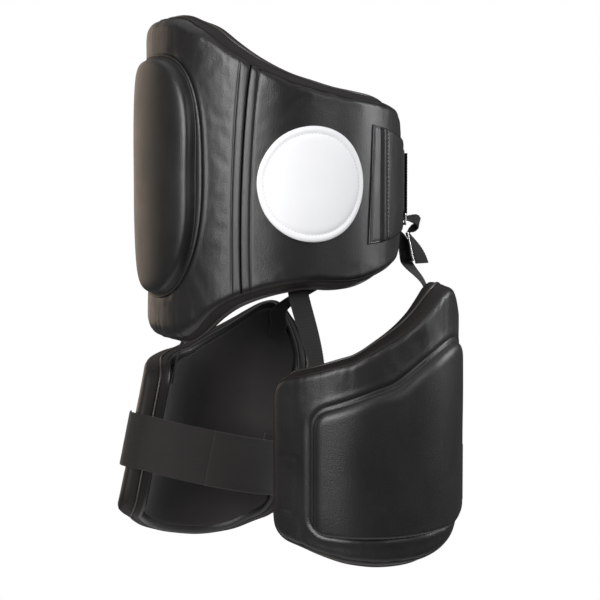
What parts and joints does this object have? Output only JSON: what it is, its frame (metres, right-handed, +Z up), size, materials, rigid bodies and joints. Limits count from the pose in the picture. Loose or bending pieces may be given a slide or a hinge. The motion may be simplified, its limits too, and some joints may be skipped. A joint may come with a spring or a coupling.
{
  "type": "belly pad with thigh pads",
  "caption": "Padded leather belly guard with a raised strike panel, round side targets and a rear band, with curved thigh pads hung from it on webbing straps.",
  "frame": {"origin": "middle of the waist hollow, about halfway up the side sections", "axes": "+X to the wearer's left, -Y to the wearer's front, +Z up"},
  "size_m": [0.4678, 0.3685, 0.6786],
  "materials": {
    "leather": "black grained synthetic leather, satin",
    "binding": "black folded edge tape",
    "white_leather": "white grained synthetic leather, satin",
    "elastic": "black woven elastic and hook and loop tape, matt",
    "webbing": "black ribbed webbing, matt",
    "lining": "black woven lining, matt",
    "steel": "bright plated steel"
  },
  "bodies": {
    "root": {"belly_front": "leather", "belly_side_left": "leather", "belly_side_right": "leather", "belly_binding": "binding", "front_panel": "leather", "target_left": "white_leather", "target_right": "white_leather", "closure_tab_left": "leather", "closure_tab_right": "leather", "waist_strap": "elastic", "thigh_pad_left": "leather", "thigh_binding_left": "binding", "thigh_panel_left": "leather", "thigh_lining_left": "lining", "thigh_anchor_left": "elastic", "thigh_strap_left": "elastic", "hip_strap_front_left": "webbing", "ring_loop_left": "webbing", "strap_ring_left": "steel", "hip_strap_rear_left": "webbing", "strap_slide_left": "steel", "thigh_pad_right": "leather", "thigh_binding_right": "binding", "thigh_panel_right": "leather", "thigh_lining_right": "lining", "thigh_anchor_right": "elastic", "thigh_strap_right": "elastic", "hip_strap_front_right": "webbing", "ring_loop_right": "webbing", "strap_ring_right": "steel", "hip_strap_rear_right": "webbing", "strap_slide_right": "steel"}
  },
  "joints": []
}
